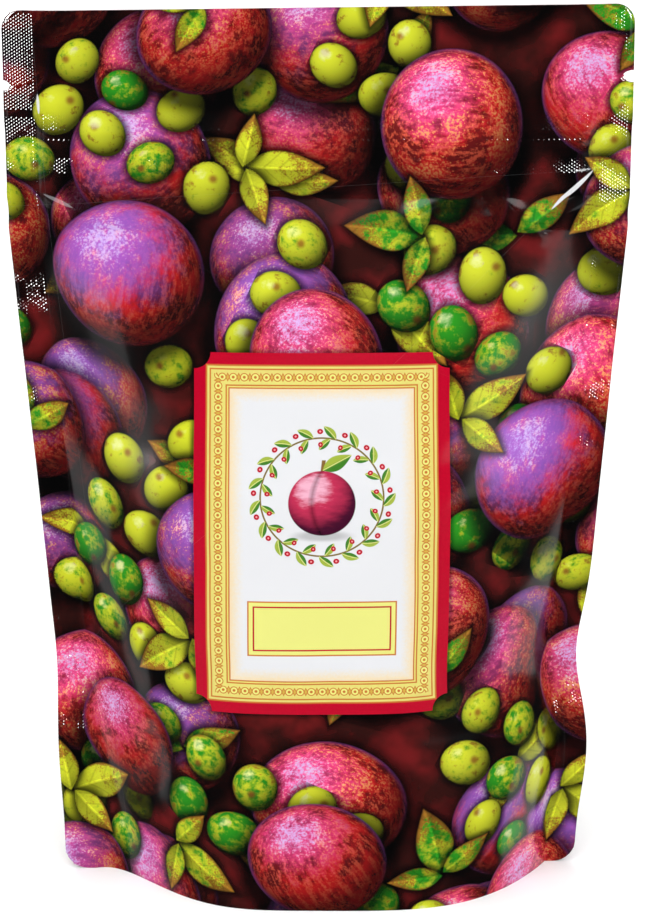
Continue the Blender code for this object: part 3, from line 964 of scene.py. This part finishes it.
def front_emblem(finish, below, at):
    """A wreath round one plum, and an empty plaque under it."""
    x, y, _ = finish.apart(at)
    middle = finish.vector("SUBTRACT", at, (0.0, WREATH_RISE, 0.0))
    colour = lone_plum(finish, wreath(finish, below, middle), middle)
    return yellow_plaque(finish, colour, x, y + 24.5, 18.5, 7.0)


def back_emblem(finish, below, at):
    """An empty ruled box over an empty plaque."""
    x, y, _ = finish.apart(at)
    box = box_edge(x, y - 15.0, 31.0, 33.0)
    colour = finish.mix(abs(box).step(0.3, 0.18), below, LABEL_ORANGE)
    return yellow_plaque(finish, colour, x, y + 36.0, 31.0, 9.0)


def wreath(finish, below, at):
    """A ring of leaf pairs and small berries."""
    x, y, _ = finish.apart(at)
    out = finish.length(at) - WREATH_RADIUS
    arc = FULL_TURN * WREATH_RADIUS / WREATH_LEAVES
    turn_share = y.math("ARCTAN2", x) * (WREATH_LEAVES / FULL_TURN) + 0.5
    run = (turn_share.math("FLOORED_MODULO", 1.0) - 0.5) * arc
    wash = finish.noise(at, 0.9, 4.0, 0.65)
    colour = finish.mix(abs(out).step(0.28, 0.16), below, WREATH_STEM)
    for lean, start in ((0.75, -2.3), (-0.75, -0.9)):
        a, b, _ = finish.apart(finish.turn(finish.point(run - start, out), -lean))
        edge = 4.2 * hump(a * (1 / 4.6)) - abs(b)
        tone = finish.mix((b + 1.4 * (wash - 0.5)).step(-0.4, 0.4), WREATH_DARK, WREATH_PALE)
        tone = finish.mix(abs(b).step(0.16, 0.08), tone, WREATH_VEIN)
        colour = finish.mix(edge.step(0.0, 0.15), colour, tone)
    berry = finish.length(finish.point(run - 1.8, abs(out) - 1.7))
    colour = finish.mix(berry.step(0.75, 0.62), colour, LABEL_CRIMSON)
    return finish.mix(berry.step(0.3, 0.18), colour, WREATH_BERRY_LIGHT)


def lone_plum(finish, below, at):
    """One plum with its shadow, stalk and leaf, in brushed colours."""
    place = finish.scale(finish.vector("ADD", at, (0.0, 1.5, 0.0)), 1 / PLUM_RADIUS)
    u, v, _ = finish.apart(place)
    shadow = finish.length(finish.point(u * 0.9, (v + 1.0) * 4.5)).step(1.0, 0.4)
    colour = finish.darken(below, 1 - 0.35 * shadow)
    stalk = abs(u - 0.12 * (v - 0.8)).step(0.07, 0.045) * v.step(0.6, 0.62) * v.step(1.32, 1.3)
    colour = finish.mix(stalk, colour, PLUM_STALK)
    a, b, _ = finish.apart(finish.turn(finish.point(u - 0.02, v - 1.0), -0.5))
    edge = 0.9 * hump(a) * (1.3 - 0.6 * a) - abs(b)
    leaf = finish.mix(b.step(-0.06, 0.06), WREATH_DARK, WREATH_PALE)
    leaf = finish.mix(abs(b).step(0.02, 0.01), leaf, WREATH_VEIN)
    colour = finish.mix(edge.step(0.0, 0.02), colour, leaf)
    far = finish.length(place)
    _, _, light = rounded(finish, place, far)
    brush = finish.noise(finish.vector("MULTIPLY", at, (0.35, 1.1, 1.0)), 0.7, 4.0, 0.6)
    plum = finish.mix((light + 0.55 * (brush - 0.5)).step(0.0, 0.95), PLUM_SHADE, PLUM_BODY)
    plum = finish.mix((light + 0.5 * (brush - 0.5)).step(0.74, 1.0) * 0.8, plum, PLUM_SHINE)
    groove = (1 - abs(u + 0.30 * (1 - v * v)) * 8).math("MAXIMUM", 0.0)
    plum = finish.darken(plum, 1 - 0.5 * groove)
    return finish.mix(far.step(1.0, 0.97), colour, plum)


# Painted highlights: white glints laid into the print along sharp creases. Start, end and half
# width in millimetres, how white
PAINTED_CREASE_GLINTS = [
    ((71.0, 196.9), (60.2, 186.8), 0.62, 0.95),
    ((70.4, 197.3), (66.0, 197.0), 0.30, 0.8),
    ((-70.6, 190.6), (-62.8, 187.2), 0.55, 0.22),
    ((-71.5, 217.6), (-71.2, 212.0), 0.42, 0.9),
]


# Painted highlights: each crease's glint is painted into the colour as a tapered white line
def paint_crease_glints(finish, below, place):
    for start, end, half, white in PAINTED_CREASE_GLINTS:
        start, end = Vector(start), Vector(end)
        run = end - start
        angle = -math.atan2(run.y, run.x)
        a, b, _ = finish.apart(finish.turn(finish.vector("SUBTRACT", place, (*start, 0.0)), angle))
        body = (hump(a * (1 / run.length)) * 4) ** 0.6
        line = (body * half - abs(b)).step(-0.05, 0.2)
        # Painted highlight: white glint along the crease
        below = finish.mix(line * white, below, LABEL_WHITE)
    return below


BACK_PRINT_SHIFT = (400.0, 0.0, 0.0)


def film_finish(name, back):
    """Glossy printed laminate."""
    finish = Finish(name, roughness=0.13)
    mark = finish.add("ShaderNodeAttribute", {"attribute_name": "flat"}, output="Vector")
    place = finish.scale(finish.vector("SUBTRACT", mark, (0.5, 0.0, 0.0)), POUCH_HEIGHT / MM)
    if back:
        colour = fruit_print(finish, finish.vector("ADD", place, BACK_PRINT_SHIFT))
        colour = ticket(finish, colour, place, BACK_LABEL_MIDDLE, BACK_LABEL_HALF, back_emblem)
    else:
        colour = fruit_print(finish, place)
        colour = ticket(finish, colour, place, LABEL_MIDDLE, LABEL_HALF, front_emblem)
        # Painted highlights on the creases
        colour = paint_crease_glints(finish, colour, place)
    smudge = finish.noise(place, 0.05, 3.0)
    finish.show(base_color=colour, roughness=0.09 + 0.09 * smudge)
    return finish.material


# Plain finishes: the two colours they are mottled with, the mottling's scale, roughness, metallic
PLAIN_FINISHES = {
    "floor_paper": ((0.93, 0.93, 0.93), (0.95, 0.95, 0.95), 6, 0.75, 0.0),
    "foil_lining": ((0.55, 0.56, 0.58), (0.70, 0.71, 0.73), 40, 0.25, 1.0),
    "cut_edge": ((0.30, 0.16, 0.17), (0.55, 0.45, 0.45), 200, 0.4, 0.0),
    "gusset_plum": ((0.020, 0.004, 0.007), (0.04, 0.008, 0.014), 30, 0.12, 0.0),
    "zip_strip_plastic": ((0.72, 0.73, 0.72), (0.84, 0.84, 0.82), 60, 0.35, 0.0),
    "freeze_dried_fruit": ((0.62, 0.47, 0.28), (0.90, 0.84, 0.70), 180, 0.85, 0.0),
}


def plain_finish(name):
    """A plain finish with a little mottling."""
    low, high, scale, roughness, metallic = PLAIN_FINISHES[name]
    finish = Finish(name, roughness=roughness, metallic=metallic)
    where = finish.add("ShaderNodeTexCoord", None, output="Object")
    mottle = finish.noise(where, scale, 4.0)
    colour = finish.mix(mottle.step(0.3, 0.7), low, high)
    finish.show(base_color=colour, roughness=roughness + 0.1 * mottle)
    return finish.material


def make_gusset(finishes):
    """The gusset: up the front panel, over to the back one, and down it."""
    belly_columns = np.sin(math.pi / 2 * np.linspace(0, 1, GUSSET_COLUMNS))
    half = [*belly_columns, *np.linspace(1, 2, GUSSET_SEAL_COLUMNS)[1:]]
    columns = [(column, LEFT) for column in half[::-1]] + [(column, RIGHT) for column in half[1:]]
    paths, marks = zip(*(gusset_path(float(column), side) for column, side in columns))
    mesh = grid_mesh("gusset_film", np.array(paths), np.array(marks), flip=True)
    film = new_piece("gusset_film", mesh, finishes)
    wall = film.modifiers.new("wall", "SOLIDIFY")
    wall.thickness = FILM
    wall.offset = 0
    return film


def panel_spot(column, rise, side, facing, inset):
    """One place of a panel's mid-surface, moved inwards by the inset."""
    share = min(1.0, column)
    rise = np.array([float(rise)])
    width = belly_half_width(rise, side)[0]
    x = side * (share * width + max(0.0, column - 1) * (SIDE_SEAL - edge_cut(rise, side)[0]))

    def bent(at):
        return float(belly(at, rise, side)[0] + facing * seal_wave(at, rise, side)[0])

    slope = (bent(share) - bent(max(0.0, share - 0.001))) / (0.001 * width)
    out = float(layers_inside(rise)[0] + belly(share, rise, side)[0])
    out = max(LAYER / 2, out - inset * math.sqrt(1 + slope**2))
    y = facing * out + float(seal_wave(share, rise, side)[0])
    return np.array([x, y, float(standing(rise, x)[0])])


def gusset_path(column, side):
    """One column of the gusset, with its flat places."""
    share = min(1.0, column)
    height = float(skirt_height(np.array([share]))[0])
    rises = np.linspace(0, height, GUSSET_ROWS)
    up = [panel_spot(column, rise, side, FRONT, LAYER) for rise in rises]
    down = [panel_spot(column, rise, side, BACK, LAYER) for rise in rises[::-1]]
    middle, reach = (up[-1] + down[0]) / 2, (down[0] - up[-1]) / 2
    arch = GUSSET_ARCH + (GUSSET_SIDE_ARCH - GUSSET_ARCH) * share**3
    arch = min(arch, FLATTEST_ARCH * reach[1] ** 2)
    angles = np.linspace(-math.pi / 2, math.pi / 2, ARCH_ROWS)[1:-1]
    crossing = [middle + reach * math.sin(a) + np.array([0, 0, arch * math.cos(a)]) for a in angles]
    path = np.array([*up, *crossing, *down])
    steps = np.linalg.norm(np.diff(path, axis=0), axis=1)
    length = np.concatenate([[0], np.cumsum(steps)])
    mark = np.stack([path[:, 0], length], axis=-1)
    return path, mark


# Where the photograph was taken from
CAMERA_RISE = math.radians(17.492)
CAMERA_TURN = math.radians(1.157)
CAMERA_ROLL = math.radians(0.308)
CAMERA_AWAY = 0.982
CAMERA_AIM = Vector((0, 0, 0.1175))
IMAGE_WIDTH, IMAGE_HEIGHT = 646, 918
FOCAL_PIXELS = 3727.4
IMAGE_MIDDLE = (318.41, 448.68)
SENSOR = 36


def place_camera():
    back = Vector((
        math.sin(CAMERA_TURN) * math.cos(CAMERA_RISE),
        -math.cos(CAMERA_TURN) * math.cos(CAMERA_RISE),
        math.sin(CAMERA_RISE),
    ))
    lens = bpy.data.cameras.new("camera")
    lens.sensor_width = SENSOR
    lens.lens = FOCAL_PIXELS * SENSOR / IMAGE_HEIGHT
    lens.shift_x = (IMAGE_WIDTH / 2 - IMAGE_MIDDLE[0]) / IMAGE_HEIGHT
    lens.shift_y = (IMAGE_MIDDLE[1] - IMAGE_HEIGHT / 2) / IMAGE_HEIGHT
    camera = bpy.data.objects.new("camera", lens)
    turn = (-back).to_track_quat("-Z", "Y").to_matrix().to_4x4()
    roll = Matrix.Rotation(-CAMERA_ROLL, 4, "Z")
    camera.matrix_world = Matrix.Translation(CAMERA_AIM + back * CAMERA_AWAY) @ turn @ roll
    bpy.context.scene.collection.objects.link(camera)
    bpy.context.scene.camera = camera


POUCH_MIDDLE = Vector((0, 0, 0.11))


def around(turn, rise, away):
    """A place at a turn to the right of the pouch's front and a rise, in degrees."""
    turn, rise = math.radians(turn), math.radians(rise)
    right, ahead = math.sin(turn) * math.cos(rise), -math.cos(turn) * math.cos(rise)
    return POUCH_MIDDLE + away * Vector((right, ahead, math.sin(rise)))


def softbox(name, place, size, brightness):
    """A soft rectangular lamp that faces the pouch."""
    lamp = bpy.data.lights.new(name, "AREA")
    lamp.shape = "RECTANGLE"
    lamp.size, lamp.size_y = size
    lamp.energy = brightness * math.pi * size[0] * size[1]
    box = bpy.data.objects.new(name, lamp)
    turn = (POUCH_MIDDLE - Vector(place)).to_track_quat("-Z", "Y")
    box.matrix_world = Matrix.Translation(place) @ turn.to_matrix().to_4x4()
    box.visible_camera = False
    bpy.context.scene.collection.objects.link(box)
    return box


CARD_AWAY = 1.5

# Lit cards that only show in the gloss: the turns and rises that each covers, in degrees, and its
# brightness
CARDS = {
    "left_glint": ((-80, -51), (6, 34), 60),
    "right_glint": ((45, 66), (8, 32), 45),
    "shoulder_card": ((1, 3), (43, 52), 1.3),
    "right_card": ((30, 64), (-7, 4), 0.9),
    "right_low_card": ((98, 126), (-34, -18), 0.9),
    "left_card": ((-60, -48), (-11, 2), 0.7),
    "left_low_card": ((-98, -88), (-28, -14), 0.8),
}


def card(name, turns, rises, brightness):
    spans = [math.radians(high - low) for low, high in (turns, rises)]
    place = around(sum(turns) / 2, sum(rises) / 2, CARD_AWAY)
    size = [2 * CARD_AWAY * math.tan(span / 2) for span in spans]
    softbox(name, place, size, brightness).visible_diffuse = False


SKY_COLOUR, SKY_BRIGHTNESS = (0.75, 0.78, 0.82, 1), 0.06
CEILING_BRIGHTNESS, CEILING_SPREAD = 2.9, math.radians(90)


def light_studio():
    world = bpy.data.worlds.new("studio")
    world.use_nodes = True
    sky = world.node_tree.nodes["Background"]
    sky.inputs["Color"].default_value = SKY_COLOUR
    sky.inputs["Strength"].default_value = SKY_BRIGHTNESS
    bpy.context.scene.world = world
    softbox("front_fill", (0.15, -1.5, 0.9), (1.2, 1.0), 2.2).visible_glossy = False
    softbox("back_fill", (-0.3, 1.6, 0.9), (1.2, 1.0), 2.2).visible_glossy = False
    softbox("top_box", (0.0, -0.35, 1.25), (0.9, 0.5), 3.0)
    for name, (turns, rises, brightness) in CARDS.items():
        card(name, turns, rises, brightness)
    lamp = bpy.data.lights.new("ceiling", "SUN")
    lamp.energy, lamp.angle = CEILING_BRIGHTNESS, CEILING_SPREAD
    ceiling = bpy.data.objects.new("ceiling", lamp)
    ceiling.visible_glossy = False
    bpy.context.scene.collection.objects.link(ceiling)
    bpy.context.scene.view_settings.view_transform = "Standard"


FLOOR_HALF = 8.0


def pale_floor():
    signs = ((-1, -1), (1, -1), (1, 1), (-1, 1))
    corners = [(x * FLOOR_HALF, y * FLOOR_HALF, 0.0) for x, y in signs]
    mesh = bpy.data.meshes.new("floor")
    mesh.from_pydata(corners, [], [(0, 1, 2, 3)])
    floor = new_piece("floor", mesh, [plain_finish("floor_paper")])
    floor.visible_glossy = False


def finish_inside():
    """The finishes of the zip strips and the fruit, which keep the CAD's shapes."""
    zip_plastic, fruit = plain_finish("zip_strip_plastic"), plain_finish("freeze_dried_fruit")
    for node, finish in (
        ("zip_rib_strip", zip_plastic), ("zip_channel_strip", zip_plastic),
        ("dried_fruit_heap", fruit),
    ):
        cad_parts[node].material_slots[0].material = finish


def main():
    place_camera()
    light_studio()
    pale_floor()
    front_print = film_finish("front_film_print", back=False)
    back_print = film_finish("back_film_print", back=True)
    foil, cut = plain_finish("foil_lining"), plain_finish("cut_edge")
    front = make_film("front_film", FRONT, [front_print, foil, cut])
    back = make_film("back_film", BACK, [back_print, foil, cut])
    gusset = make_gusset([plain_finish("gusset_plum")])
    films = {"front": (front, front_print), "back": (back, back_print)}
    pieces = [(front, "printed_film"), (back, "printed_film"), (gusset, "gusset_film")]
    pieces += [(dimples, "printed_film") for dimples in press_seals(films)]
    finish_inside()
    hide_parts("front_panel")
    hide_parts("back_panel")
    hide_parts("bottom_gusset")
    for piece, slot in pieces:
        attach(piece, "root")


main()
